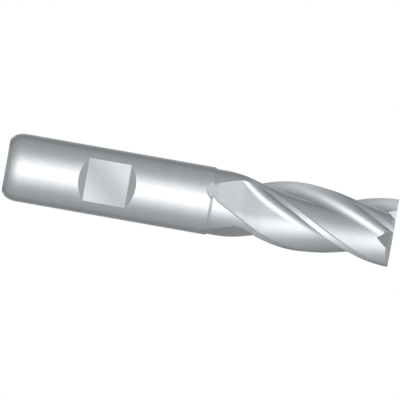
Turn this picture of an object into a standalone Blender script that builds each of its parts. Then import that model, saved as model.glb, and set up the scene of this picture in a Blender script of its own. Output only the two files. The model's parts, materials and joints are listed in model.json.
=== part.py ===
"""Four-flute end mill with a flatted cylindrical shank, one solid piece of tool steel.

The tool stands on its shank end: +Z runs along the axis to the cutting end, the origin is
the middle of the shank end face and the drive flat faces -Y.
All lengths below are in millimetres and are written to the mesh in metres.
"""
import math

import bmesh
import bpy
from mathutils import Vector

MM = 0.001

# Overall sizes
OVERALL_LENGTH = 92.0
DIAMETER = 16.0
TEETH = 4

# Shank end: a short chamfer, then a rounded lead-in up to the full diameter
END_FACE_RADIUS = 6.2
CHAMFER_LENGTH = 1.0
CHAMFER_RADIUS = 7.3
LEAD_IN_LENGTH = 3.6
LEAD_IN_STEPS = 5

# Centre hole in the shank end
CENTRE_MOUTH_RADIUS = 2.4
CENTRE_DRILL_RADIUS = 1.0
CENTRE_CONE_ANGLE = 60.0
CENTRE_DRILL_DEPTH = 3.6
CENTRE_POINT_ANGLE = 118.0

# Drive flat with 45 degree end walls
FLAT_TO_BACK_WIDTH = 14.2
FLAT_LENGTH = 10.0
FLAT_CENTRE_HEIGHT = 24.0
FLAT_WALL_ANGLE = 45.0

# Neck: the ground shank ends in a short chamfer down to it, and the uncut round grows
# back to the cutting diameter above it
SHANK_LENGTH = 48.42
NECK_CHAMFER_LENGTH = 0.7
NECK_DIAMETER = 15.4
NECK_END_HEIGHT = 58.9
NECK_RISE_LENGTH = 1.2

# Tooth form, seen on a cross-section; the strip left behind an edge is wider on the neck
HELIX_LEAD = 90.0
LAND_WIDTH = 1.47
NECK_LAND_WIDTH = 1.98
LAND_NARROWS_AT = 56.4
LAND_NARROWS_LENGTH = 4.6
LAND_RELIEF_ANGLE = 11.5
RAKE_ANGLE = 8.0
CORE_RADIUS = 4.55
FILLET_RADIUS = 2.3
HEEL_CLEARANCE_ANGLE = 25.0
EDGE_ANGLE_AT_TIP = -0.5

# Run-out of the flutes toward the shank. The facing of its flat is measured from the line of
# the cutting edge where the flute starts; the flat swings a little from there on, and it
# sinks into the round at an even slope.
FLUTE_START_HEIGHT = 47.25
RUN_OUT_FACING_ANGLE = 72.0
RUN_OUT_SWING_ANGLE = 2.7
RUN_OUT_SWING_LENGTH = 8.0
ENTRY_SLOPE_ANGLE = 12.5
ENTRY_HALF_ANGLE = 3.0

# Cutting end: clearance behind each end edge, with a leaning wall up to the next edge, and
# the gash in front of each edge
END_CLEARANCE_ANGLE = 16.0
END_WALL_LEAN_ANGLE = 45.0
END_EDGE_WIDTH = 0.08
GASH_AT_RADIUS = 4.9
GASH_SLOPE_ANGLE = 50.0
GASH_WALL_DEPTH = 2.2
GASH_FLOOR_WIDTH = 1.64
GASH_FLOOR_DEPTH = 3.85
GASH_BACK_ANGLE = 42.0

# Fineness
ROUND_STEPS = 64
ROW_STEP = 1.25
RUN_OUT_ROW_STEP = 0.8
FIRST_ROW_STEP = 0.3
SHORTEST_RUN = 0.02
SMALLEST_TURN = 0.6
FILLET_STEPS = 9
BACK_STEPS = 9
LAND_STEPS = 2
BEND_WEIGHT = 2.6
CUTTER_OVERSHOOT = 1.0
FLAT_CUTTER_DEPTH = 3.0
SHARP_EDGE_ANGLE = 14.0

RADIUS = DIAMETER / 2.0
NECK_RADIUS = NECK_DIAMETER / 2.0
PITCH_ANGLE = 360.0 / TEETH
LAND_ANGLE = math.degrees(LAND_WIDTH / RADIUS)
HEEL_ANGLE = PITCH_ANGLE - LAND_ANGLE


def direction(angle):
    return Vector((math.cos(math.radians(angle)), math.sin(math.radians(angle))))


def angle_of(vector):
    return math.degrees(math.atan2(vector.y, vector.x))


def edge_angle(z):
    """Angle of the first cutting edge round the axis at height z."""
    return EDGE_ANGLE_AT_TIP + 360.0 * (z - OVERALL_LENGTH) / HELIX_LEAD


def share_of(z, start, length):
    return min(max((z - start) / length, 0.0), 1.0)


def rim_radius(z):
    """Radius of the uncut round at height z: shank, neck, or cutting diameter."""
    down = share_of(z, SHANK_LENGTH, NECK_CHAMFER_LENGTH)
    up = share_of(z, NECK_END_HEIGHT, NECK_RISE_LENGTH)
    return RADIUS - (RADIUS - NECK_RADIUS) * (down - up)


def heel_angle(z):
    """Angle from a cutting edge to the heel in front of it at height z."""
    narrowed = share_of(z, LAND_NARROWS_AT, LAND_NARROWS_LENGTH)
    width = NECK_LAND_WIDTH + (LAND_WIDTH - NECK_LAND_WIDTH) * narrowed
    return PITCH_ANGLE - math.degrees(width / RADIUS)


def heel_radius(z):
    """Radius where the land ends; the relief takes it no deeper than the round at the neck."""
    return min(rim_radius(z), RADIUS - LAND_WIDTH * math.tan(math.radians(LAND_RELIEF_ANGLE)))


def fillet_centre():
    """Centre of the fillet between the full-depth back and the rake face."""
    distance = CORE_RADIUS + FILLET_RADIUS
    reach = FILLET_RADIUS - RADIUS * math.sin(math.radians(RAKE_ANGLE))
    return distance * direction(RAKE_ANGLE + math.degrees(math.asin(reach / distance)))


def arc_points(centre, radius, start, end, count):
    """Points round an arc; a negative radius puts them on the hollow side of the angles."""
    return [centre + radius * direction(start + (end - start) * i / count) for i in range(count + 1)]


def back_points(landing, touch, centre, radius, facing, heel_normal):
    """Points up the back of a tooth: a straight run, then the arc to the heel.

    They are shared out by length and by bend, so that the arc gets more of them.
    """
    straight = (touch - landing).length
    bend = math.radians(max(heel_normal - facing, 0.0))
    measure = straight + (radius + BEND_WEIGHT) * bend
    full = (RADIUS + BEND_WEIGHT) * math.radians(HEEL_ANGLE - HEEL_CLEARANCE_ANGLE)
    count = max(2, round(BACK_STEPS * measure / full))
    points = []
    for i in range(count + 1):
        target = measure * i / count
        if target < straight:
            points.append(landing.lerp(touch, target / straight))
        elif bend:
            share = (target - straight) / (measure - straight)
            points.append(centre + radius * direction(facing + (heel_normal - facing) * share))
        else:
            points.append(touch.copy())
    return points


def land_chain(last, rim, lead):
    """Points across the land from the heel to the next cutting edge."""
    points = []
    for i in range(LAND_STEPS + 1):
        share = i / LAND_STEPS
        radius = last.length + (rim - last.length) * share
        turn = angle_of(last) + (PITCH_ANGLE + lead - angle_of(last)) * share
        points.append(radius * direction(turn))
    return points


def flute_outline(z):
    """Rim, rake face, fillet, back and land of one tooth space at height z, as point chains.

    Points lie on a plane whose x axis passes through the cutting edge; angles grow in the
    direction in which the teeth lead. A chain that the section lacks is a single point.
    In the run-out the back is held to one facing in space, so it meets the round as a flat.
    """
    into_rake = direction(180.0 + RAKE_ANGLE)
    rake_normal = 90.0 + RAKE_ANGLE
    wall = direction(rake_normal)
    rim = rim_radius(z)
    side = wall.dot(RADIUS * direction(0.0))
    edge = wall * side - into_rake * math.sqrt(rim * rim - side * side)
    lead = angle_of(edge)
    heel = heel_radius(z) * direction(heel_angle(z))
    heel_normal = heel_angle(z) - HEEL_CLEARANCE_ANGLE
    centre = fillet_centre()
    to_heel = heel - centre
    reach = 2.0 * (direction(heel_normal).dot(to_heel) + FILLET_RADIUS)
    back_radius = (to_heel.length_squared - FILLET_RADIUS ** 2) / reach
    back_centre = heel - back_radius * direction(heel_normal)
    join = angle_of(centre - back_centre)
    turned = edge_angle(z) - edge_angle(FLUTE_START_HEIGHT)
    risen = z - FLUTE_START_HEIGHT
    swing = RUN_OUT_SWING_ANGLE * (1.0 - share_of(z, FLUTE_START_HEIGHT, RUN_OUT_SWING_LENGTH))
    facing = max(RUN_OUT_FACING_ANGLE - swing - turned, join)
    across = direction(facing)

    touch = back_centre + back_radius * across if facing < heel_normal else heel
    level = across.dot(touch)
    if facing >= heel_normal:
        sunk = risen * math.tan(math.radians(ENTRY_SLOPE_ANGLE))
        level = min(max(level, RADIUS - sunk), rim * math.cos(math.radians(ENTRY_HALF_ANGLE)))
    if facing > join:
        out = FILLET_RADIUS + side
        raised = level + FILLET_RADIUS
        spread = across.x * wall.y - across.y * wall.x
        centre = Vector((raised * wall.y - out * across.y, out * across.x - raised * wall.x)) / spread
    foot = centre - FILLET_RADIUS * wall
    landing = centre - FILLET_RADIUS * across

    if (foot - edge).dot(into_rake) > SHORTEST_RUN:
        rim_chain = [edge]
        rake_chain = [edge, edge.lerp(foot, 0.5), foot]
        fillet_chain = arc_points(centre, -FILLET_RADIUS, rake_normal, facing, FILLET_STEPS)
    elif landing.length < rim - SHORTEST_RUN:
        low, high = facing, rake_normal
        for _ in range(40):
            middle = (low + high) / 2.0
            inside = (centre - FILLET_RADIUS * direction(middle)).length < rim
            low, high = (middle, high) if inside else (low, middle)
        count = max(1, round(FILLET_STEPS * (low - facing) / (rake_normal - facing)))
        fillet_chain = arc_points(centre, -FILLET_RADIUS, low, facing, count)
        rim_chain = rim_points(rim, lead, angle_of(fillet_chain[0]))
        fillet_chain[0] = rim_chain[-1]
        rake_chain = [rim_chain[-1]]
    else:
        half = math.degrees(math.acos(min(level / rim, 1.0)))
        landing = rim * direction(facing - half)
        if facing >= heel_normal:
            touch = rim * direction(facing + half)
        rim_chain = rim_points(rim, lead, facing - half)
        rake_chain = [rim_chain[-1]]
        fillet_chain = [rim_chain[-1]]
    back_chain = back_points(landing, touch, back_centre, back_radius, facing, heel_normal)
    back_chain[0] = fillet_chain[-1]
    return rim_chain, rake_chain, fillet_chain, back_chain, land_chain(back_chain[-1], rim, lead)


def rim_points(rim, lead, end):
    """Points on the uncut round from the line of the cutting edge to an angle."""
    if end - lead < SMALLEST_TURN:
        return [rim * direction(lead)]
    count = max(1, round((end - lead) * ROUND_STEPS / 360.0))
    return arc_points(Vector((0.0, 0.0)), rim, lead, end, count)


def row_heights():
    """Heights of the fluted rows, with the ends of the neck kept among even steps."""
    first = FLUTE_START_HEIGHT + FIRST_ROW_STEP
    grown = NECK_END_HEIGHT + NECK_RISE_LENGTH
    marks = [SHANK_LENGTH, SHANK_LENGTH + NECK_CHAMFER_LENGTH, NECK_END_HEIGHT, grown]
    marks = [z for z in marks if z > first + FIRST_ROW_STEP]
    rows = []
    for low, high, step in ((first, grown, RUN_OUT_ROW_STEP), (grown, OVERALL_LENGTH, ROW_STEP)):
        count = math.ceil((high - low) / step)
        for i in range(count):
            z = low + (high - low) * i / count
            if i == 0 or all(abs(z - mark) > step * 0.35 for mark in marks):
                rows.append(z)
    return sorted(rows + marks + [OVERALL_LENGTH])


def stitch(bm, lower, upper):
    """Faces between two chains of vertices with any counts, shorter diagonal first."""
    i = j = 0
    while i < len(lower) - 1 or j < len(upper) - 1:
        step_low = step_up = math.inf
        if i < len(lower) - 1:
            step_low = (lower[i + 1].co - upper[j].co).length
        if j < len(upper) - 1:
            step_up = (upper[j + 1].co - lower[i].co).length
        if step_low <= step_up:
            corners = (lower[i], lower[i + 1], upper[j])
            i += 1
        else:
            corners = (lower[i], upper[j + 1], upper[j])
            j += 1
        if len(set(corners)) == 3:
            bm.faces.new(corners)


def loft_flutes(bm):
    """The fluted length as a loft between its rows; returns the lowest row."""
    below = None
    lowest = []
    for z in row_heights():
        outline = flute_outline(z)
        points = [point for chain in outline for point in chain[:-1]]
        marks = [0]
        for chain in outline:
            marks.append(marks[-1] + len(chain) - 1)
        rings = []
        for tooth in range(TEETH):
            turn = direction(edge_angle(z) + PITCH_ANGLE * tooth)
            ring = []
            for p in points:
                x = p.x * turn.x - p.y * turn.y
                y = p.x * turn.y + p.y * turn.x
                ring.append(bm.verts.new(Vector((x, y, z)) * MM))
            rings.append(ring)
        chains = []
        for tooth in range(TEETH):
            ring = rings[tooth] + [rings[(tooth + 1) % TEETH][0]]
            for start, end in zip(marks[:-1], marks[1:]):
                chains.append(ring[start:end + 1])
        if below:
            for lower, upper in zip(below, chains):
                stitch(bm, lower, upper)
        else:
            lowest = [vertex for ring in rings for vertex in ring]
        below = chains
    top = [vertex for chain in below for vertex in chain[:-1]]
    bm.faces.new(top)
    return lowest


def join_round(bm, lowest, z):
    """An even round below the flutes, stitched to the lowest fluted row by angle."""
    order = sorted(lowest, key=lambda v: math.atan2(v.co.y, v.co.x) % (2.0 * math.pi))
    ring = []
    for i in range(ROUND_STEPS):
        p = RADIUS * direction(360.0 * i / ROUND_STEPS)
        ring.append(bm.verts.new(Vector((p.x, p.y, z)) * MM))
    low = [(2.0 * math.pi * i / ROUND_STEPS, ring[i % ROUND_STEPS]) for i in range(ROUND_STEPS + 1)]
    first = math.atan2(order[0].co.y, order[0].co.x) % (2.0 * math.pi)
    high = [(math.atan2(v.co.y, v.co.x) % (2.0 * math.pi), v) for v in order]
    high.append((first + 2.0 * math.pi, order[0]))
    i = j = 0
    while i < len(low) - 1 or j < len(high) - 1:
        go_low = j == len(high) - 1 or (i < len(low) - 1 and low[i + 1][0] <= high[j + 1][0])
        if go_low:
            bm.faces.new((low[i][1], low[i + 1][1], high[j][1]))
            i += 1
        else:
            bm.faces.new((low[i][1], high[j + 1][1], high[j][1]))
            j += 1
    return ring


def shank_profile():
    """Heights and radii from the lowest round down over the end face into the centre hole."""
    rise = RADIUS - CHAMFER_RADIUS
    run = LEAD_IN_LENGTH - CHAMFER_LENGTH
    lead_radius = (run * run + rise * rise) / (2.0 * rise)
    sweep = math.degrees(math.asin(run / lead_radius))
    wall = (RADIUS - FLAT_TO_BACK_WIDTH + RADIUS) / math.tan(math.radians(FLAT_WALL_ANGLE))
    clear = FLAT_LENGTH / 2.0 + abs(wall) + CUTTER_OVERSHOOT
    profile = [(FLAT_CENTRE_HEIGHT + clear, RADIUS), (FLAT_CENTRE_HEIGHT - clear, RADIUS)]
    profile.append((LEAD_IN_LENGTH, RADIUS))
    for i in range(1, LEAD_IN_STEPS + 1):
        turn = math.radians(sweep * i / LEAD_IN_STEPS)
        z = LEAD_IN_LENGTH - lead_radius * math.sin(turn)
        profile.append((z, RADIUS - lead_radius * (1.0 - math.cos(turn))))
    profile.append((0.0, END_FACE_RADIUS))
    profile.append((0.0, CENTRE_MOUTH_RADIUS))
    cone = (CENTRE_MOUTH_RADIUS - CENTRE_DRILL_RADIUS) / math.tan(math.radians(CENTRE_CONE_ANGLE / 2.0))
    profile.append((cone, CENTRE_DRILL_RADIUS))
    profile.append((CENTRE_DRILL_DEPTH, CENTRE_DRILL_RADIUS))
    return profile


def draw_shank(bm, ring):
    """Extrudes the lowest round down the shank, over its end and into the centre hole."""
    edges = [bm.edges.get((ring[i], ring[(i + 1) % ROUND_STEPS])) for i in range(ROUND_STEPS)]
    radius = RADIUS
    for z, next_radius in shank_profile():
        result = bmesh.ops.extrude_edge_only(bm, edges=edges)["geom"]
        edges = [item for item in result if isinstance(item, bmesh.types.BMEdge)]
        verts = [item for item in result if isinstance(item, bmesh.types.BMVert)]
        for vertex in verts:
            vertex.co.x *= next_radius / radius
            vertex.co.y *= next_radius / radius
            vertex.co.z = z * MM
        radius = next_radius
    apex = CENTRE_DRILL_DEPTH + CENTRE_DRILL_RADIUS / math.tan(math.radians(CENTRE_POINT_ANGLE / 2.0))
    result = bmesh.ops.extrude_edge_only(bm, edges=edges)["geom"]
    tip = [item for item in result if isinstance(item, bmesh.types.BMVert)]
    bmesh.ops.pointmerge(bm, verts=tip, merge_co=Vector((0.0, 0.0, apex * MM)))


def new_object(name, bm, collection):
    bmesh.ops.recalc_face_normals(bm, faces=bm.faces[:])
    mesh = bpy.data.meshes.new(name)
    bm.to_mesh(mesh)
    bm.free()
    item = bpy.data.objects.new(name, mesh)
    collection.objects.link(item)
    return item


def prism(name, outline, near, far, collection, shift=None, lean=0.0):
    """A prism from an outline in the y-z plane, between two x positions.

    The far outline is moved by shift, which slants the prism. The near end leans outward by
    an angle as it goes down from the top plane.
    """
    out = math.tan(math.radians(lean))
    bm = bmesh.new()
    slant = shift or Vector((0.0, 0.0, 0.0))
    first = [bm.verts.new(Vector((near + (OVERALL_LENGTH - z) * out, y, z)) * MM) for y, z in outline]
    second = [bm.verts.new((Vector((far, y, z)) + slant) * MM) for y, z in outline]
    bm.faces.new(first)
    bm.faces.new(second)
    for i in range(len(outline)):
        j = (i + 1) % len(outline)
        bm.faces.new((first[i], first[j], second[j], second[i]))
    item = new_object(name, bm, collection)
    item.display_type = "WIRE"
    item.hide_render = True
    return item


def cut(body, cutter):
    modifier = body.modifiers.new(cutter.name, "BOOLEAN")
    modifier.operation = "DIFFERENCE"
    modifier.solver = "EXACT"
    modifier.object = cutter


def flat_cutter(collection):
    floor = RADIUS - FLAT_TO_BACK_WIDTH
    out = FLAT_CUTTER_DEPTH
    reach = RADIUS + CUTTER_OVERSHOOT
    low = FLAT_CENTRE_HEIGHT - FLAT_LENGTH / 2.0
    high = FLAT_CENTRE_HEIGHT + FLAT_LENGTH / 2.0
    run = out / math.tan(math.radians(FLAT_WALL_ANGLE))
    outline = [(floor, low), (floor, high), (floor - out, high + run), (floor - out, low - run)]
    return prism("cut_drive_flat", outline, -reach, reach, collection)


def end_cutters(tooth, collection):
    """The clearance wedge behind one end edge and the gash in front of it."""
    top = OVERALL_LENGTH
    over = CUTTER_OVERSHOOT
    reach = RADIUS + over
    half = END_EDGE_WIDTH / 2.0
    fall = (reach - half) * math.tan(math.radians(END_CLEARANCE_ANGLE))
    wedge = [(-half, top), (-half, top + over), (-reach, top + over), (-reach, top - fall)]
    clearance = prism(f"cut_end_clearance_{tooth}", wedge, half, reach, collection, lean=END_WALL_LEAN_ANGLE)

    slope = math.tan(math.radians(GASH_SLOPE_ANGLE))
    inner = GASH_AT_RADIUS - (GASH_FLOOR_DEPTH + over) / slope
    lift = (GASH_AT_RADIUS - inner) * slope
    drop = (reach - GASH_AT_RADIUS) * slope
    back = (GASH_FLOOR_DEPTH + over + drop) / math.tan(math.radians(GASH_BACK_ANGLE))
    rise = lift + drop + over
    outline = [(half, top + rise), (half, top - GASH_WALL_DEPTH + lift),
               (GASH_FLOOR_WIDTH, top - GASH_FLOOR_DEPTH + lift),
               (GASH_FLOOR_WIDTH + back, top + rise)]
    slant = Vector((0.0, 0.0, -lift - drop))
    gash = prism(f"cut_gash_{tooth}", outline, inner, reach, collection, slant)
    turn = math.radians(EDGE_ANGLE_AT_TIP + PITCH_ANGLE * tooth)
    for item in (clearance, gash):
        item.rotation_euler.z = turn
    return clearance, gash


def steel():
    material = bpy.data.materials.new("ground_high_speed_steel")
    material.use_nodes = True
    shader = material.node_tree.nodes["Principled BSDF"]
    shader.inputs["Base Color"].default_value = (0.62, 0.64, 0.66, 1.0)
    shader.inputs["Metallic"].default_value = 1.0
    shader.inputs["Roughness"].default_value = 0.32
    return material


def main():
    for item in list(bpy.data.objects):
        bpy.data.objects.remove(item)
    parts = bpy.data.collections.new("end_mill")
    cutters = bpy.data.collections.new("cutters")
    bpy.context.scene.collection.children.link(parts)
    bpy.context.scene.collection.children.link(cutters)

    bm = bmesh.new()
    lowest = loft_flutes(bm)
    ring = join_round(bm, lowest, FLUTE_START_HEIGHT)
    draw_shank(bm, ring)
    body = new_object("end_mill", bm, parts)
    cut(body, flat_cutter(cutters))
    for tooth in range(TEETH):
        for cutter in end_cutters(tooth, cutters):
            cut(body, cutter)
    body.data.materials.append(steel())
    body.data.shade_smooth()
    body.data.set_sharp_from_angle(angle=math.radians(SHARP_EDGE_ANGLE))


main()
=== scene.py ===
import json
import math
import bpy
import bmesh
from mathutils import Matrix, Vector

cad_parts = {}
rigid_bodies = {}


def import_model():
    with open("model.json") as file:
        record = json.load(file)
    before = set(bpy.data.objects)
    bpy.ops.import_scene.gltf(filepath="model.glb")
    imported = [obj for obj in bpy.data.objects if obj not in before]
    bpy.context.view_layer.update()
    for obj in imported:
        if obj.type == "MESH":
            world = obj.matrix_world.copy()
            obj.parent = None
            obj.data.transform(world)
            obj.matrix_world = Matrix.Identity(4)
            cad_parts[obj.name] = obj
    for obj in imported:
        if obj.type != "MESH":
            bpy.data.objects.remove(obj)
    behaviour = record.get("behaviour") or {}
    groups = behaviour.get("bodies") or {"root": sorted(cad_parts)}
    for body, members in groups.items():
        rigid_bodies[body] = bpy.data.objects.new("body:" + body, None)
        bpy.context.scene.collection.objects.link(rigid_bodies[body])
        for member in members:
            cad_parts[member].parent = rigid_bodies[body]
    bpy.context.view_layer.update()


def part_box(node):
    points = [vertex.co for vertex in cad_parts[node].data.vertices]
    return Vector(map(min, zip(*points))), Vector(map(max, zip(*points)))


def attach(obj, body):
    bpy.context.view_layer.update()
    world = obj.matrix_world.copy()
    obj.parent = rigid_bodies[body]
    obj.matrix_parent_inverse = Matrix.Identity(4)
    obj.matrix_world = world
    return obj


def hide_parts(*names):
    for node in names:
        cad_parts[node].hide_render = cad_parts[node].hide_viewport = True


# A four-flute end mill in ground high speed steel, standing on its shank end.
# Sizes in the dictionaries are in millimetres and degrees; mm turns them into metres.

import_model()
mm = 0.001

toolLow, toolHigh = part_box("end_mill")
tool = {
    "length": (toolHigh.z - toolLow.z) / mm,
    "radius": (toolHigh.x - toolLow.x) / 2 / mm,
    "teeth": 4,
}

shank = {
    "endFaceRadius": 6.2,
    "chamferLength": 1.0,
    "chamferRadius": 7.3,
    "leadInLength": 3.6,      # rounded lead-in up to the full diameter
    "leadInSteps": 14,
    "plainRows": (36.0, 12.0),  # heights of the rows between the flutes and the lead-in
    "centreMouthRadius": 2.4,
    "centreDrillRadius": 1.0,
    "centreConeAngle": 60.0,
    "centreDrillDepth": 3.6,
    "centrePointAngle": 118.0,
}

neck = {
    "radius": 7.7,
    "start": 48.42,           # the ground shank ends here, in a short chamfer down to the neck
    "chamfer": 0.7,
    "end": 58.9,              # from here the blank grows to the cutting diameter
    "rise": 1.2,
}

driveFlat = {
    "toBack": 14.2,
    "length": 10.0,
    "centreHeight": 24.0,
    "wallAngle": 45.0,
    "cutterRise": 3.0,        # how far the cutter widens outward from the flat
}

flutes = {
    "helixLead": 90.0,
    "edgeAngleAtTip": -0.5,
    "landWidth": 1.47,
    "neckLandWidth": 1.98,    # the strip left behind an edge is wider on the neck
    "landNarrowsAt": 56.4,
    "landNarrowsLength": 4.6,
    "landRelief": 11.5,
    "rake": 8.0,
    "coreRadius": 4.55,
    "filletRadius": 2.3,
    "heelClearance": 25.0,
    "startHeight": 47.25,
    "runOutFacing": 72.0,     # from the line of the cutting edge at the start height
    "runOutSwing": 2.7,       # how much further round the flat faces at its very start
    "swingLength": 8.0,
    "entrySlope": 12.5,       # the flat enters the round at this slope
    "entryHalfAngle": 3.0,
    "leastStretch": 0.02,     # a shorter stretch of a section is left out
    "startDrop": 0.02,        # the round ring lies this far under the first row
}

endTeeth = {
    "clearance": 16.0,
    "wallLean": 45.0,         # of the short wall between a clearance and the next end edge
    "edgeWidth": 0.08,
    "gashAtRadius": 4.9,      # where the gash floor line starts on the end plane
    "gashSlope": 50.0,
    "gashWallDepth": 2.2,
    "gashFloorWidth": 1.64,
    "gashFloorDepth": 3.85,
    "gashBackAngle": 42.0,
    "over": 1.0,              # the cutters reach this far past the tool
}

fineness = {
    "rim": 28,                # steps round each stretch of a tooth space
    "rake": 5,
    "fillet": 26,
    "back": 32,
    "land": 5,
    "rowStep": 0.4,
    "runOutRowStep": 0.25,
    "runOutRowsAbove": 2.0,   # the closer rows go on this far above the neck
    "leastRowGap": 0.4,       # share of a step that a row keeps from the neck's own rows
    "halvings": 40,           # steps of the search for where the fillet meets the round
    "mergeDistance": 0.002,
    "leastEdge": 0.0005,
    "sharpAngle": 9.0,
}

# Material slots on the tool, one for each way that its faces are ground
slots = {"shank": 0, "flute": 1, "land": 2, "flat": 3, "wall": 4, "end": 5, "clearance": 6}

# painted shade: a dark line along the heels and cutting edges
shadeLineLess = 0.04           # the line on a cutting edge is narrower than a heel's by this

pitchAngle = 360.0 / tool["teeth"]


def heading(angle):
    return Vector((math.cos(math.radians(angle)), math.sin(math.radians(angle))))


def angleOf(vector):
    return math.degrees(math.atan2(vector.y, vector.x))


def edgeAngle(z):
    return flutes["edgeAngleAtTip"] + 360.0 * (z - tool["length"]) / flutes["helixLead"]


def within(share):
    return min(max(share, 0.0), 1.0)


def rimRadius(z):
    # the uncut round: shank, chamfer, neck, and the blank of the cutting length
    down = within((z - neck["start"]) / neck["chamfer"])
    up = within((z - neck["end"]) / neck["rise"])
    return tool["radius"] - (tool["radius"] - neck["radius"]) * (down - up)


def heelAngle(z):
    narrowed = within((z - flutes["landNarrowsAt"]) / flutes["landNarrowsLength"])
    width = flutes["neckLandWidth"] + (flutes["landWidth"] - flutes["neckLandWidth"]) * narrowed
    return pitchAngle - math.degrees(width / tool["radius"])


def heelRadius(z):
    drop = flutes["landWidth"] * math.tan(math.radians(flutes["landRelief"]))
    return min(rimRadius(z), tool["radius"] - drop)


def arcRun(centre, radius, start, end, steps):
    turns = [start + (end - start) * i / steps for i in range(steps + 1)]
    return [centre + radius * heading(turn) for turn in turns]


def backRun(landing, touch, centre, radius, facing, heelNormal):
    # straight up from the landing, then round to the heel, shared out by length and by bend
    steps = fineness["back"]
    straight = (touch - landing).length
    bend = math.radians(max(heelNormal - facing, 0.0))
    measure = max(straight + radius * bend, 1e-9)
    run = []
    for i in range(steps + 1):
        target = measure * i / steps
        if target < straight or not bend:
            share = min(target / straight, 1.0) if straight else 1.0
            run.append(landing.lerp(touch, share))
        else:
            share = (target - straight) / (measure - straight)
            run.append(centre + radius * heading(facing + (heelNormal - facing) * share))
    return run


def landRun(heel, rim, lead):
    run = []
    for i in range(fineness["land"] + 1):
        share = i / fineness["land"]
        turn = angleOf(heel) + (pitchAngle + lead - angleOf(heel)) * share
        run.append((heel.length + (rim - heel.length) * share) * heading(turn))
    return run


def toothSpace(z):
    # Rim, rake face, fillet, back and land of one tooth space, on a plane whose x axis goes
    # through the cutting edge. A stretch that the section lacks has all its points in one
    # place. In the run-out the back keeps one facing in space, so it leaves the round as a flat.
    radius = tool["radius"]
    fillet = flutes["filletRadius"]
    origin = Vector((0.0, 0.0))
    rim = rimRadius(z)
    wall = heading(90.0 + flutes["rake"])
    into = heading(180.0 + flutes["rake"])
    side = wall.dot(radius * heading(0.0))
    edge = wall * side - into * math.sqrt(rim * rim - side * side)
    lead = angleOf(edge)
    heel = heelRadius(z) * heading(heelAngle(z))
    heelNormal = heelAngle(z) - flutes["heelClearance"]

    distance = flutes["coreRadius"] + fillet
    reach = (fillet - radius * math.sin(math.radians(flutes["rake"]))) / distance
    centre = distance * heading(flutes["rake"] + math.degrees(math.asin(reach)))
    toHeel = heel - centre
    leaning = heading(heelNormal).dot(toHeel)
    backRadius = (toHeel.length_squared - fillet ** 2) / (2 * (leaning + fillet))
    backCentre = heel - backRadius * heading(heelNormal)
    join = angleOf(centre - backCentre)
    turned = edgeAngle(z) - edgeAngle(flutes["startHeight"])
    risen = z - flutes["startHeight"]
    swing = flutes["runOutSwing"] * (1.0 - within(risen / flutes["swingLength"]))
    facing = max(flutes["runOutFacing"] - swing - turned, join)
    across = heading(facing)

    touch = backCentre + backRadius * across if facing < heelNormal else heel
    level = across.dot(touch)
    if facing >= heelNormal:
        sunk = risen * math.tan(math.radians(flutes["entrySlope"]))
        highest = rim * math.cos(math.radians(flutes["entryHalfAngle"]))
        level = min(max(level, radius - sunk), highest)
    if facing > join:
        out, raised = fillet + side, level + fillet
        spread = across.x * wall.y - across.y * wall.x
        aside, ahead = raised * wall.y - out * across.y, out * across.x - raised * wall.x
        centre = Vector((aside, ahead)) / spread
    foot = centre - fillet * wall
    landing = centre - fillet * across

    rimSteps, rakeSteps, filletSteps = fineness["rim"], fineness["rake"], fineness["fillet"]
    least = flutes["leastStretch"]
    if (foot - edge).dot(into) > least:
        rimRun = [edge] * (rimSteps + 1)
        rakeRun = [edge.lerp(foot, i / rakeSteps) for i in range(rakeSteps + 1)]
        filletRun = arcRun(centre, -fillet, 90.0 + flutes["rake"], facing, filletSteps)
    elif landing.length < rim - least:
        low, high = facing, 90.0 + flutes["rake"]
        for _ in range(fineness["halvings"]):
            middle = (low + high) / 2
            inside = (centre - fillet * heading(middle)).length < rim
            low, high = (middle, high) if inside else (low, middle)
        filletRun = arcRun(centre, -fillet, low, facing, filletSteps)
        rimRun = arcRun(origin, rim, lead, max(angleOf(filletRun[0]), lead), rimSteps)
        filletRun[0] = rimRun[-1]
        rakeRun = [rimRun[-1]] * (rakeSteps + 1)
    else:
        half = math.degrees(math.acos(min(level / rim, 1.0)))
        landing = rim * heading(facing - half)
        if facing >= heelNormal:
            touch = rim * heading(facing + half)
        rimRun = arcRun(origin, rim, lead, facing - half, rimSteps)
        rakeRun = [rimRun[-1]] * (rakeSteps + 1)
        filletRun = [rimRun[-1]] * (filletSteps + 1)
    back = backRun(landing, touch, backCentre, backRadius, facing, heelNormal)
    back[0] = filletRun[-1]
    return rimRun, rakeRun, filletRun, back, landRun(back[-1], rim, lead)


def sectionPoints(z, rounded=False):
    # Every point of the section at height z, the slot of the face that starts at each, and
    # how near each is to the heel or the cutting edge, for the painted shade line: 1 on the line,
    # 0 a millimetre away.
    runs = toothSpace(z)
    kinds = ("shank", "flute", "flute", "flute", "land")
    heel, edge = runs[4][0], runs[4][-1]
    points, faces, nears = [], [], []
    for tooth in range(tool["teeth"]):
        turn = Matrix.Rotation(math.radians(edgeAngle(z) + pitchAngle * tooth), 2)
        for run, kind in zip(runs, kinds):
            for point in run[:-1]:
                flat = turn @ (point.normalized() * tool["radius"] if rounded else point)
                points.append(Vector((flat.x, flat.y, z)) * mm)
                faces.append(slots[kind])
                away = (point - heel).length
                if kind == "land":
                    away = min(away, (point - edge).length + shadeLineLess)
                nears.append(0.0 if rounded else within(1.0 - away))
    return points, faces, nears


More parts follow.
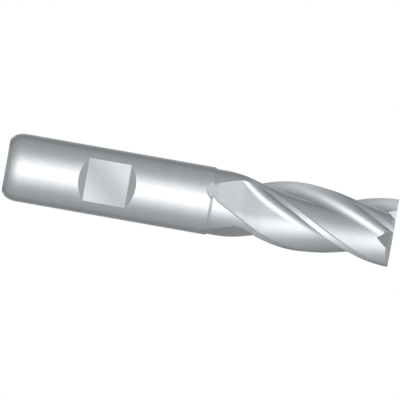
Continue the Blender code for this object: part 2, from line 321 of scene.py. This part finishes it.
def rowHeights():
    # the neck's own four rows, and even rows between them, closer together in the run-out
    marks = [neck["start"], neck["start"] + neck["chamfer"]]
    marks += [neck["end"], neck["end"] + neck["rise"]]
    rows = marks[:]
    change = marks[-1] + fineness["runOutRowsAbove"]
    spans = (
        (flutes["startHeight"], change, fineness["runOutRowStep"]),
        (change, tool["length"], fineness["rowStep"]),
    )
    for low, high, step in spans:
        count = math.ceil((high - low) / step)
        for i in range(count):
            z = low + (high - low) * i / count
            gap = step * fineness["leastRowGap"]
            if i == 0 or all(abs(z - mark) > gap for mark in marks):
                rows.append(z)
    return sorted(rows) + [tool["length"]]


def shankProfile():
    # heights and radii from the flutes down over the lead-in and chamfer into the centre hole
    rise = tool["radius"] - shank["chamferRadius"]
    run = shank["leadInLength"] - shank["chamferLength"]
    arc = (run * run + rise * rise) / (2 * rise)
    sweep = math.asin(run / arc)
    top = shank["leadInLength"]
    profile = [(z, tool["radius"]) for z in (*shank["plainRows"], top)]
    for i in range(1, shank["leadInSteps"] + 1):
        turn = sweep * i / shank["leadInSteps"]
        inward = arc * (1 - math.cos(turn))
        profile.append((top - arc * math.sin(turn), tool["radius"] - inward))
    coneRun = shank["centreMouthRadius"] - shank["centreDrillRadius"]
    cone = coneRun / math.tan(math.radians(shank["centreConeAngle"] / 2))
    profile += [
        (0.0, shank["endFaceRadius"]),
        (0.0, shank["centreMouthRadius"]),
        (cone, shank["centreDrillRadius"]),
        (shank["centreDrillDepth"], shank["centreDrillRadius"]),
    ]
    return profile


def extrudeRing(bm, edges):
    made = bmesh.ops.extrude_edge_only(bm, edges=edges)["geom"]
    return (
        [item for item in made if isinstance(item, bmesh.types.BMVert)],
        [item for item in made if isinstance(item, bmesh.types.BMEdge)],
    )


def drawFlutes(bm):
    # The section is drawn once as a ring, extruded row by row and set to each row's section.
    # The ring's own edges come back, for the shank to go on from.
    start = flutes["startHeight"]
    points, _, _ = sectionPoints(start, rounded=True)
    layer = bm.verts.layers.float.new("lineNear")
    drop = Vector((0, 0, flutes["startDrop"] * mm))
    ring = [bm.verts.new(point - drop) for point in points]
    lowest = [bm.edges.new((ring[i], ring[(i + 1) % len(ring)])) for i in range(len(ring))]
    place = {vert: i for i, vert in enumerate(ring)}
    edges = lowest
    for z in rowHeights():
        points, faces, nears = sectionPoints(z)
        verts, nextEdges = extrudeRing(bm, edges)
        made = {}
        for edge in edges:
            for face in edge.link_faces:
                for side in face.edges:
                    shared = set(side.verts) & set(place)
                    if len(shared) == 1:
                        below = shared.pop()
                        made[side.other_vert(below)] = place[below]
        for vert in verts:
            vert.co = points[made[vert]]
            vert[layer] = nears[made[vert]]
        for edge in edges:
            ends = sorted(place[vert] for vert in edge.verts)
            first = ends[1] if ends == [0, len(points) - 1] else ends[0]
            for face in edge.link_faces:
                if any(vert in made for vert in face.verts):
                    face.material_index = faces[first]
        place, edges = made, nextEdges
    return lowest


def drawShank(bm, edges):
    radius = tool["radius"]
    # on down from the lowest ring: the shank, its rounded end and the centre hole
    height = flutes["startHeight"] - flutes["startDrop"]
    for z, nextRadius in shankProfile():
        verts, edges = extrudeRing(bm, edges)
        grow = nextRadius / radius
        bmesh.ops.scale(bm, vec=(grow, grow, 1.0), verts=verts)
        bmesh.ops.translate(bm, vec=(0, 0, (z - height) * mm), verts=verts)
        radius, height = nextRadius, z
    verts, edges = extrudeRing(bm, edges)
    point = radius / math.tan(math.radians(shank["centrePointAngle"] / 2))
    bmesh.ops.pointmerge(bm, verts=verts, merge_co=Vector((0, 0, (height + point) * mm)))


def meshObject(name, bm):
    mesh = bpy.data.meshes.new(name)
    bm.to_mesh(mesh)
    bm.free()
    item = bpy.data.objects.new(name, mesh)
    bpy.context.scene.collection.objects.link(item)
    return item


def prismCutter(name, outline, ends, slant, slot, collection, turn=0.0, lean=0.0):
    # an outline in the y-z plane, extruded along x, with its far end moved by slant and its
    # near end leaning outward as it goes down from the top plane
    near, far = ends
    bm = bmesh.new()
    verts = [bm.verts.new(Vector((near, y, z)) * mm) for y, z in outline]
    face = bmesh.ops.contextual_create(bm, geom=verts)["faces"][0]
    made = bmesh.ops.extrude_face_region(bm, geom=[face], use_keep_orig=True)["geom"]
    moved = [item for item in made if isinstance(item, bmesh.types.BMVert)]
    bmesh.ops.translate(bm, vec=(Vector((far - near, 0, 0)) + slant) * mm, verts=moved)
    for vert in verts:
        vert.co.x += (tool["length"] * mm - vert.co.z) * math.tan(math.radians(lean))
    turning = Matrix.Rotation(math.radians(turn), 3, "Z")
    bmesh.ops.rotate(bm, cent=(0, 0, 0), matrix=turning, verts=bm.verts)
    bmesh.ops.recalc_face_normals(bm, faces=bm.faces)
    for face in bm.faces:
        face.material_index = slot
    item = meshObject(name, bm)
    bpy.context.scene.collection.objects.unlink(item)
    collection.objects.link(item)
    return item


def cutFlat(collection):
    floor = tool["radius"] - driveFlat["toBack"]
    out = driveFlat["cutterRise"]
    run = out / math.tan(math.radians(driveFlat["wallAngle"]))
    low = driveFlat["centreHeight"] - driveFlat["length"] / 2
    high = driveFlat["centreHeight"] + driveFlat["length"] / 2
    outline = [(floor, low), (floor, high), (floor - out, high + run), (floor - out, low - run)]
    reach = tool["radius"] + endTeeth["over"]
    ends = (-reach, reach)
    cutter = prismCutter("cutDriveFlat", outline, ends, Vector(), slots["wall"], collection)
    for face in cutter.data.polygons:
        if face.normal.y > 0.9:
            face.material_index = slots["flat"]


def cutEndTooth(tooth, collection):
    # the clearance wedge behind one end edge, and the slanted gash in front of it
    top = tool["length"]
    over = endTeeth["over"]
    reach = tool["radius"] + over
    half = endTeeth["edgeWidth"] / 2
    turn = flutes["edgeAngleAtTip"] + pitchAngle * tooth
    fall = (reach - half) * math.tan(math.radians(endTeeth["clearance"]))
    wedge = [(-half, top), (-half, top + over), (-reach, top + over), (-reach, top - fall)]
    ends, slot, lean = (half, reach), slots["clearance"], endTeeth["wallLean"]
    prismCutter(f"cutClearance{tooth}", wedge, ends, Vector(), slot, collection, turn, lean)

    slope = math.tan(math.radians(endTeeth["gashSlope"]))
    inner = endTeeth["gashAtRadius"] - (endTeeth["gashFloorDepth"] + over) / slope
    lift = (endTeeth["gashAtRadius"] - inner) * slope
    drop = (reach - endTeeth["gashAtRadius"]) * slope
    rising = math.tan(math.radians(endTeeth["gashBackAngle"]))
    back = (endTeeth["gashFloorDepth"] + over + drop) / rising
    rise = lift + drop + over
    gash = [
        (half, top + rise),
        (half, top - endTeeth["gashWallDepth"] + lift),
        (endTeeth["gashFloorWidth"], top - endTeeth["gashFloorDepth"] + lift),
        (endTeeth["gashFloorWidth"] + back, top + rise),
    ]
    slant, ends = Vector((0, 0, -lift - drop)), (inner, reach)
    prismCutter(f"cutGash{tooth}", gash, ends, slant, slots["end"], collection, turn)


def makeTool():
    bm = bmesh.new()
    drawShank(bm, drawFlutes(bm))
    bmesh.ops.remove_doubles(bm, verts=bm.verts, dist=fineness["mergeDistance"] * mm)
    bmesh.ops.dissolve_degenerate(bm, edges=bm.edges, dist=fineness["leastEdge"] * mm)
    rim = [edge for edge in bm.edges if edge.is_boundary]
    cap = bmesh.ops.contextual_create(bm, geom=rim)["faces"]
    for face in cap:
        face.material_index = slots["end"]
    bmesh.ops.recalc_face_normals(bm, faces=bm.faces)
    body = meshObject("endMill", bm)
    print("endMill: flutes and shank drawn,", len(body.data.polygons), "faces")

    cutters = bpy.data.collections.new("cutters")
    bpy.context.scene.collection.children.link(cutters)
    cutFlat(cutters)
    for tooth in range(tool["teeth"]):
        cutEndTooth(tooth, cutters)
    for item in cutters.objects:
        cut = body.modifiers.new(item.name, "BOOLEAN")
        cut.operation = "DIFFERENCE"
        cut.solver = "EXACT"
        cut.object = item
    graph = bpy.context.evaluated_depsgraph_get()
    finished = bpy.data.meshes.new_from_object(body.evaluated_get(graph))
    body.modifiers.clear()
    body.data = finished
    for item in list(cutters.objects):
        bpy.data.objects.remove(item)
    bpy.data.collections.remove(cutters)
    finished.shade_smooth()
    finished.set_sharp_from_angle(angle=math.radians(fineness["sharpAngle"]))
    print("endMill: flat, gashes and clearances cut,", len(finished.polygons), "faces")
    return body


# Finish

# Density is in waves per metre on x, y and z: lines run where it is low. Spread is how far
# the streaks lighten and darken the steel, and bump is the depth of the scratches. A tone
# multiplies the colour of some grounds: painted light and shade, darker on the end faces and
# lighter on the clearances and the flat's walls.
steel = {
    "colour": (0.598, 0.612, 0.625),
    # painted shade: the colour of the dark line along the heels and cutting edges, which are also
    # rougher there
    "shadeLineColour": (0.43, 0.44, 0.445),
    "lineRoughness": 0.8,
    "lineDepth": 0.9,
    "lineReach": 0.28,        # the line starts this far from the edge
    "lineCore": 0.06,         # and is full this far from it
    "lineFade": (78.0, 88.0, 0.3),  # it fades between two heights, and this share of it stays
    "paintedLightTones": {"end": 0.84, "clearance": 1.2, "wall": 1.06},
    # painted shade: a darker band slantwise over the drive flat
    "flatShadeBand": {"slant": 48.8, "offset": 15.3, "reach": 6.2, "dark": 0.65, "light": 0.88},
    "noise": {"Streaks": (1.0, 2.0), "Scratches": (7.0, 1.0)},  # scale and detail
    "noiseSpan": (0.3, 0.7),  # the part of the noise that is spread over a range
    "roughnessSpread": 0.06,
    "shank": {
        "roughness": 0.33, "helical": False, "density": (60, 60, 900),
        "spread": 0.02, "bump": 0.0006,
    },
    "flute": {
        "roughness": 0.33, "helical": True, "density": (900, 900, 40),
        "spread": 0.025, "bump": 0.0006,
    },
    "land": {
        "roughness": 0.33, "helical": True, "density": (900, 900, 60),
        "spread": 0.03, "bump": 0.0006,
    },
    "flat": {
        "roughness": 0.5, "helical": False, "density": (900, 300, 120),
        "spread": 0.012, "bump": 0.0004,
    },
    "wall": {
        "roughness": 0.42, "helical": False, "density": (900, 300, 120),
        "spread": 0.012, "bump": 0.0004,
    },
    "end": {
        "roughness": 0.5, "helical": False, "density": (700, 700, 300),
        "spread": 0.03, "bump": 0.0008,
    },
    "clearance": {
        "roughness": 0.5, "helical": False, "density": (700, 700, 300),
        "spread": 0.03, "bump": 0.0008,
    },
}


def newGroup(name, sockets):
    # a node group from (name, socket type, direction) rows, with its own two end nodes
    group = bpy.data.node_groups.new(name, "ShaderNodeTree")
    for title, kind, side in sockets:
        group.interface.new_socket(name=title, in_out=side, socket_type=kind)
    return group, group.nodes.new("NodeGroupInput"), group.nodes.new("NodeGroupOutput")


def makeGrindingLines():
    # Long streaks and fine scratches, drawn out along the axes on which Density is low. Twist,
    # in radians a metre, turns them back by the helix, so that they run along a flute.
    group, given, result = newGroup("grindingLines", (
        ("Vector", "NodeSocketVector", "INPUT"),
        ("Twist", "NodeSocketFloat", "INPUT"),
        ("Density", "NodeSocketVector", "INPUT"),
        ("Streaks", "NodeSocketFloat", "OUTPUT"),
        ("Scratches", "NodeSocketFloat", "OUTPUT"),
    ))
    parts = group.nodes.new("ShaderNodeSeparateXYZ")
    angle = group.nodes.new("ShaderNodeMath")
    angle.operation = "MULTIPLY"
    turned = group.nodes.new("ShaderNodeVectorRotate")
    turned.rotation_type = "Z_AXIS"
    drawn = group.nodes.new("ShaderNodeVectorMath")
    drawn.operation = "MULTIPLY"
    group.links.new(given.outputs["Vector"], parts.inputs["Vector"])
    group.links.new(parts.outputs["Z"], angle.inputs[0])
    group.links.new(given.outputs["Twist"], angle.inputs[1])
    group.links.new(given.outputs["Vector"], turned.inputs["Vector"])
    group.links.new(angle.outputs["Value"], turned.inputs["Angle"])
    group.links.new(turned.outputs["Vector"], drawn.inputs[0])
    group.links.new(given.outputs["Density"], drawn.inputs[1])
    for name, (scale, detail) in steel["noise"].items():
        noise = group.nodes.new("ShaderNodeTexNoise")
        noise.inputs["Scale"].default_value = scale
        noise.inputs["Detail"].default_value = detail
        group.links.new(drawn.outputs["Vector"], noise.inputs["Vector"])
        group.links.new(noise.outputs["Fac"], result.inputs[name])
    return group


def makeEdgeShadeLine():
    # the fine line along the heels and cutting edges, from how near they are, and fainter
    # toward the cutting end: painted shade in the colour, with a rougher finish there too
    low, high, left = steel["lineFade"]
    group, given, result = newGroup("edgeShadeLine", (
        ("Near", "NodeSocketFloat", "INPUT"),
        ("Vector", "NodeSocketVector", "INPUT"),
        ("Mask", "NodeSocketFloat", "OUTPUT"),
    ))
    reach = group.nodes.new("ShaderNodeMapRange")
    reach.interpolation_type = "SMOOTHSTEP"
    reach.inputs["From Min"].default_value = 1.0 - steel["lineReach"]
    reach.inputs["From Max"].default_value = 1.0 - steel["lineCore"]
    parts = group.nodes.new("ShaderNodeSeparateXYZ")
    fade = group.nodes.new("ShaderNodeMapRange")
    fade.inputs["From Min"].default_value = low * mm
    fade.inputs["From Max"].default_value = high * mm
    fade.inputs["To Min"].default_value = steel["lineDepth"]
    fade.inputs["To Max"].default_value = steel["lineDepth"] * left
    depth = group.nodes.new("ShaderNodeMath")
    depth.operation = "MULTIPLY"
    group.links.new(given.outputs["Near"], reach.inputs["Value"])
    group.links.new(given.outputs["Vector"], parts.inputs["Vector"])
    group.links.new(parts.outputs["Z"], fade.inputs["Value"])
    group.links.new(reach.outputs["Result"], depth.inputs[0])
    group.links.new(fade.outputs["Result"], depth.inputs[1])
    group.links.new(depth.outputs["Value"], result.inputs["Mask"])
    return group


def makeFlatShadeBand():
    # a soft darker band slantwise over the drive flat, with the rest of the flat a little darker
    # too: painted shade
    band = steel["flatShadeBand"]
    group, given, result = newGroup("flatShadeBand", (
        ("Vector", "NodeSocketVector", "INPUT"),
        ("Color", "NodeSocketColor", "INPUT"),
        ("Color", "NodeSocketColor", "OUTPUT"),
    ))
    across = group.nodes.new("ShaderNodeVectorMath")
    across.operation = "DOT_PRODUCT"
    slant = math.radians(band["slant"])
    across.inputs[1].default_value = (-math.sin(slant) / mm, 0, math.cos(slant) / mm)
    centred = group.nodes.new("ShaderNodeMath")
    centred.operation = "SUBTRACT"
    centred.inputs[1].default_value = band["offset"]
    away = group.nodes.new("ShaderNodeMath")
    away.operation = "ABSOLUTE"
    bandShade = group.nodes.new("ShaderNodeMapRange")
    bandShade.interpolation_type = "SMOOTHSTEP"
    bandShade.inputs["From Max"].default_value = band["reach"]
    bandShade.inputs["To Min"].default_value = band["dark"]
    bandShade.inputs["To Max"].default_value = band["light"]
    scaled = group.nodes.new("ShaderNodeVectorMath")
    scaled.operation = "SCALE"
    group.links.new(given.outputs["Vector"], across.inputs[0])
    group.links.new(across.outputs["Value"], centred.inputs[0])
    group.links.new(centred.outputs["Value"], away.inputs[0])
    group.links.new(away.outputs["Value"], bandShade.inputs["Value"])
    group.links.new(given.outputs["Color"], scaled.inputs[0])
    group.links.new(bandShade.outputs["Result"], scaled.inputs["Scale"])
    group.links.new(scaled.outputs["Vector"], result.inputs["Color"])
    return group


def makeSteel(kind, groups):
    look = steel[kind]
    material = bpy.data.materials.new("steel" + kind.capitalize())
    material.use_nodes = True
    nodes, links = material.node_tree.nodes, material.node_tree.links
    shader = nodes["Principled BSDF"]
    shader.inputs["Metallic"].default_value = 1.0

    def group(name):
        node = nodes.new("ShaderNodeGroup")
        node.node_tree = groups[name]
        return node

    def ranged(value, low, high):
        node = nodes.new("ShaderNodeMapRange")
        node.inputs["From Min"].default_value = steel["noiseSpan"][0]
        node.inputs["From Max"].default_value = steel["noiseSpan"][1]
        node.inputs["To Min"].default_value = low
        node.inputs["To Max"].default_value = high
        links.new(value, node.inputs["Value"])
        return node.outputs["Result"]

    place = nodes.new("ShaderNodeTexCoord").outputs["Object"]
    lines = group("grindingLines")
    twist = -2 * math.pi / (flutes["helixLead"] * mm)
    lines.inputs["Twist"].default_value = twist if look["helical"] else 0.0
    lines.inputs["Density"].default_value = look["density"]
    links.new(place, lines.inputs["Vector"])
    tone = nodes.new("ShaderNodeMix")
    tone.data_type = "RGBA"
    # painted light and shade: the tone of some grounds lightens or darkens their colour
    paintedTone, spread = steel["paintedLightTones"].get(kind, 1.0), look["spread"]
    tone.inputs["A"].default_value = (*[part * paintedTone * (1 - spread) for part in steel["colour"]], 1)
    tone.inputs["B"].default_value = (*[part * paintedTone * (1 + spread) for part in steel["colour"]], 1)
    links.new(ranged(lines.outputs["Streaks"], 0, 1), tone.inputs["Factor"])
    near = nodes.new("ShaderNodeAttribute")
    near.attribute_name = "lineNear"
    line = group("edgeShadeLine")
    links.new(near.outputs["Fac"], line.inputs["Near"])
    links.new(place, line.inputs["Vector"])
    # painted shade: the line along the heels and cutting edges darkens the colour
    shadeLined = nodes.new("ShaderNodeMix")
    shadeLined.data_type = "RGBA"
    shadeLined.inputs["B"].default_value = (*steel["shadeLineColour"], 1)
    links.new(line.outputs["Mask"], shadeLined.inputs["Factor"])
    links.new(tone.outputs["Result"], shadeLined.inputs["A"])
    colour = shadeLined.outputs["Result"]
    # painted shade band over the drive flat
    if kind == "flat":
        band = group("flatShadeBand")
        links.new(place, band.inputs["Vector"])
        links.new(colour, band.inputs["Color"])
        colour = band.outputs["Color"]
    links.new(colour, shader.inputs["Base Color"])
    rough, vary = look["roughness"], steel["roughnessSpread"]
    dulled = nodes.new("ShaderNodeMix")
    dulled.inputs["B"].default_value = steel["lineRoughness"]
    links.new(line.outputs["Mask"], dulled.inputs["Factor"])
    uneven = ranged(lines.outputs["Scratches"], rough * (1 - vary), rough * (1 + vary))
    links.new(uneven, dulled.inputs["A"])
    links.new(dulled.outputs["Result"], shader.inputs["Roughness"])
    bump = nodes.new("ShaderNodeBump")
    bump.inputs["Strength"].default_value = 1.0
    bump.inputs["Distance"].default_value = look["bump"] * mm
    links.new(lines.outputs["Scratches"], bump.inputs["Height"])
    links.new(bump.outputs["Normal"], shader.inputs["Normal"])
    return material


# Studio

studio = {
    "tentRadius": 1.2,        # this and the floor's and the lamps' sizes and places in metres
    "tentSegments": (64, 32),
    "aimAside": 3.0,          # the tent is brightest this many degrees from the front, toward +X
    "aimDown": 1.5,           # and this many toward the shank
    "stretch": (0.5, 1.1),    # the glow is drawn out along the tool near its middle only
    "stretchFrom": 0.2,
    "stretchFull": 0.6,
    "glow": (                 # degrees from the brightest place, and brightness
        (0, 2.1), (14, 1.97), (26, 1.59), (38, 1.2), (50, 0.885), (64, 0.66),
        (80, 0.57), (100, 0.51), (118, 0.42), (136, 0.27), (146, 0.4), (160, 0.6), (180, 0.8),
    ),
    "sideTint": (0.95, 1.0, 1.025),
    "tintFrom": 18.0,         # the tint comes in between these angles
    "tintFull": 62.0,
    "worldGrey": 0.5,
    "floorRadius": 1.1,
    "floorSegments": 96,
    "floorColour": (0.86, 0.87, 0.88),
    "floorRoughness": 0.9,
    "floorShine": 0.1,
    "lampPower": 1.5,
    "lampSize": 0.3,
    "lampPlaces": ((-0.35, -0.3, 0.5), (0.4, -0.25, 0.55)),
}

camera = {
    "tilt": 9.99,             # the tool's axis against the picture's level
    "aimHeight": 46.1,
    "aimAside": 0.19,         # the picture's middle lies this far toward +X from the axis
    "scale": 93.56,
    "distance": 500.0,
}


def newNodes(tree):
    tree.nodes.clear()
    return tree.nodes, tree.links


def makeTent():
    bm = bmesh.new()
    around, upward = studio["tentSegments"]
    radius = studio["tentRadius"]
    bmesh.ops.create_uvsphere(bm, u_segments=around, v_segments=upward, radius=radius)
    bmesh.ops.translate(bm, vec=(0, 0, camera["aimHeight"] * mm), verts=bm.verts)
    tent = meshObject("lightTent", bm)
    tent.visible_camera = False
    material = bpy.data.materials.new("tentGlow")
    material.use_nodes = True
    nodes, links = newNodes(material.node_tree)
    output = nodes.new("ShaderNodeOutputMaterial")
    glow = nodes.new("ShaderNodeEmission")
    coordinates = nodes.new("ShaderNodeTexCoord")
    centre = nodes.new("ShaderNodeVectorMath")
    centre.operation = "SUBTRACT"
    centre.inputs[1].default_value = (0, 0, camera["aimHeight"] * mm)
    unit = nodes.new("ShaderNodeVectorMath")
    unit.operation = "NORMALIZE"
    toFront = nodes.new("ShaderNodeVectorMath")
    toFront.operation = "DOT_PRODUCT"
    aside, down = math.radians(studio["aimAside"]), math.radians(studio["aimDown"])
    toFront.inputs[1].default_value = (math.sin(aside), -math.cos(aside), -math.tan(down))
    angle = nodes.new("ShaderNodeMath")
    angle.operation = "ARCCOSINE"
    share = nodes.new("ShaderNodeMath")
    share.operation = "DIVIDE"
    share.inputs[1].default_value = math.pi
    ramp = nodes.new("ShaderNodeFloatCurve")
    top = max(level for _, level in studio["glow"])
    curve = ramp.mapping.curves[0]
    first, last = studio["glow"][0], studio["glow"][-1]
    curve.points[0].location = (0.0, first[1] / top)
    curve.points[1].location = (1.0, last[1] / top)
    for degrees, level in studio["glow"][1:-1]:
        curve.points.new(degrees / 180.0, level / top)
    ramp.mapping.update()
    strength = nodes.new("ShaderNodeMath")
    strength.operation = "MULTIPLY"
    strength.inputs[1].default_value = top
    outward = nodes.new("ShaderNodeVectorMath")
    outward.operation = "NORMALIZE"
    parts = nodes.new("ShaderNodeSeparateXYZ")
    height = nodes.new("ShaderNodeMath")
    height.operation = "ABSOLUTE"
    factor = nodes.new("ShaderNodeMapRange")
    factor.interpolation_type = "SMOOTHSTEP"
    factor.inputs["From Min"].default_value = studio["stretchFrom"]
    factor.inputs["From Max"].default_value = studio["stretchFull"]
    factor.inputs["To Min"].default_value = studio["stretch"][0]
    factor.inputs["To Max"].default_value = studio["stretch"][1]
    scaled = nodes.new("ShaderNodeMath")
    scaled.operation = "MULTIPLY"
    joined = nodes.new("ShaderNodeCombineXYZ")
    links.new(coordinates.outputs["Object"], centre.inputs[0])
    links.new(centre.outputs["Vector"], outward.inputs[0])
    links.new(outward.outputs["Vector"], parts.inputs["Vector"])
    links.new(parts.outputs["Z"], height.inputs[0])
    links.new(height.outputs["Value"], factor.inputs["Value"])
    links.new(parts.outputs["Z"], scaled.inputs[0])
    links.new(factor.outputs["Result"], scaled.inputs[1])
    links.new(parts.outputs["X"], joined.inputs["X"])
    links.new(parts.outputs["Y"], joined.inputs["Y"])
    links.new(scaled.outputs["Value"], joined.inputs["Z"])
    links.new(joined.outputs["Vector"], unit.inputs[0])
    links.new(unit.outputs["Vector"], toFront.inputs[0])
    links.new(toFront.outputs["Value"], angle.inputs[0])
    links.new(angle.outputs["Value"], share.inputs[0])
    links.new(share.outputs["Value"], ramp.inputs["Value"])
    links.new(ramp.outputs["Value"], strength.inputs[0])
    links.new(strength.outputs["Value"], glow.inputs["Strength"])
    spread = nodes.new("ShaderNodeMapRange")
    spread.interpolation_type = "SMOOTHSTEP"
    spread.inputs["From Min"].default_value = studio["tintFrom"] / 180.0
    spread.inputs["From Max"].default_value = studio["tintFull"] / 180.0
    tint = nodes.new("ShaderNodeMix")
    tint.data_type = "RGBA"
    tint.inputs["A"].default_value = (1, 1, 1, 1)
    tint.inputs["B"].default_value = (*studio["sideTint"], 1)
    links.new(share.outputs["Value"], spread.inputs["Value"])
    links.new(spread.outputs["Result"], tint.inputs["Factor"])
    links.new(tint.outputs["Result"], glow.inputs["Color"])
    links.new(glow.outputs["Emission"], output.inputs["Surface"])
    tent.data.materials.append(material)
    return tent


def makeFloor():
    bm = bmesh.new()
    around, radius = studio["floorSegments"], studio["floorRadius"]
    bmesh.ops.create_circle(bm, cap_ends=True, segments=around, radius=radius)
    floor = meshObject("floor", bm)
    floor.visible_glossy = False
    material = bpy.data.materials.new("floorPaint")
    material.use_nodes = True
    shader = material.node_tree.nodes["Principled BSDF"]
    shader.inputs["Base Color"].default_value = (*studio["floorColour"], 1.0)
    shader.inputs["Roughness"].default_value = studio["floorRoughness"]
    shader.inputs["Specular IOR Level"].default_value = studio["floorShine"]
    floor.data.materials.append(material)
    return floor


def makeLamps():
    # soft lamps for the floor and the tool's shadow on it; the steel is lit by the tent
    aim = Vector((0, 0, camera["aimHeight"] * mm))
    for place in studio["lampPlaces"]:
        data = bpy.data.lights.new("softLamp", "AREA")
        data.energy = studio["lampPower"]
        data.size = studio["lampSize"]
        item = bpy.data.objects.new("softLamp", data)
        bpy.context.scene.collection.objects.link(item)
        item.location = place
        item.rotation_euler = (aim - Vector(place)).to_track_quat("-Z", "Y").to_euler()
        item.visible_camera = False
        item.visible_glossy = False


def makeWorld():
    # white behind the tool, as the camera, metal and glass see it, and plain grey light elsewhere
    world = bpy.data.worlds.new("studioWorld")
    bpy.context.scene.world = world
    world.use_nodes = True
    nodes, links = newNodes(world.node_tree)
    output = nodes.new("ShaderNodeOutputWorld")
    rays = nodes.new("ShaderNodeLightPath")
    white = nodes.new("ShaderNodeBackground")
    white.inputs["Color"].default_value = (1, 1, 1, 1)
    grey = nodes.new("ShaderNodeBackground")
    grey.inputs["Color"].default_value = (1, 1, 1, 1)
    grey.inputs["Strength"].default_value = studio["worldGrey"]
    seen = nodes.new("ShaderNodeMath")
    seen.operation = "MAXIMUM"
    shown = nodes.new("ShaderNodeMath")
    shown.operation = "MAXIMUM"
    mix = nodes.new("ShaderNodeMixShader")
    links.new(rays.outputs["Is Camera Ray"], seen.inputs[0])
    links.new(rays.outputs["Is Glossy Ray"], seen.inputs[1])
    links.new(seen.outputs["Value"], shown.inputs[0])
    links.new(rays.outputs["Is Transmission Ray"], shown.inputs[1])
    links.new(shown.outputs["Value"], mix.inputs["Fac"])
    links.new(grey.outputs["Background"], mix.inputs[1])
    links.new(white.outputs["Background"], mix.inputs[2])
    links.new(mix.outputs["Shader"], output.inputs["Surface"])


def makeCamera():
    data = bpy.data.cameras.new("camera")
    data.type = "ORTHO"
    data.ortho_scale = camera["scale"] * mm
    item = bpy.data.objects.new("camera", data)
    bpy.context.scene.collection.objects.link(item)
    tilt = math.radians(camera["tilt"])
    right = Vector((-math.sin(tilt), 0, math.cos(tilt)))
    up = Vector((-math.cos(tilt), 0, -math.sin(tilt)))
    back = right.cross(up)
    turn = Matrix((right, up, back)).transposed()
    aim = Vector((camera["aimAside"], 0, camera["aimHeight"])) * mm
    item.matrix_world = Matrix.Translation(aim + back * camera["distance"] * mm) @ turn.to_4x4()
    bpy.context.scene.camera = item


endMill = makeTool()
finishes = {
    "grindingLines": makeGrindingLines(),
    "edgeShadeLine": makeEdgeShadeLine(),
    "flatShadeBand": makeFlatShadeBand(),
}
for kind in slots:
    endMill.data.materials.append(makeSteel(kind, finishes))
endMill.visible_glossy = False
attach(endMill, "root")
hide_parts("end_mill")

makeTent()
makeFloor()
makeLamps()
makeWorld()
makeCamera()
bpy.context.scene.view_settings.view_transform = "Standard"
print("studio and camera set")
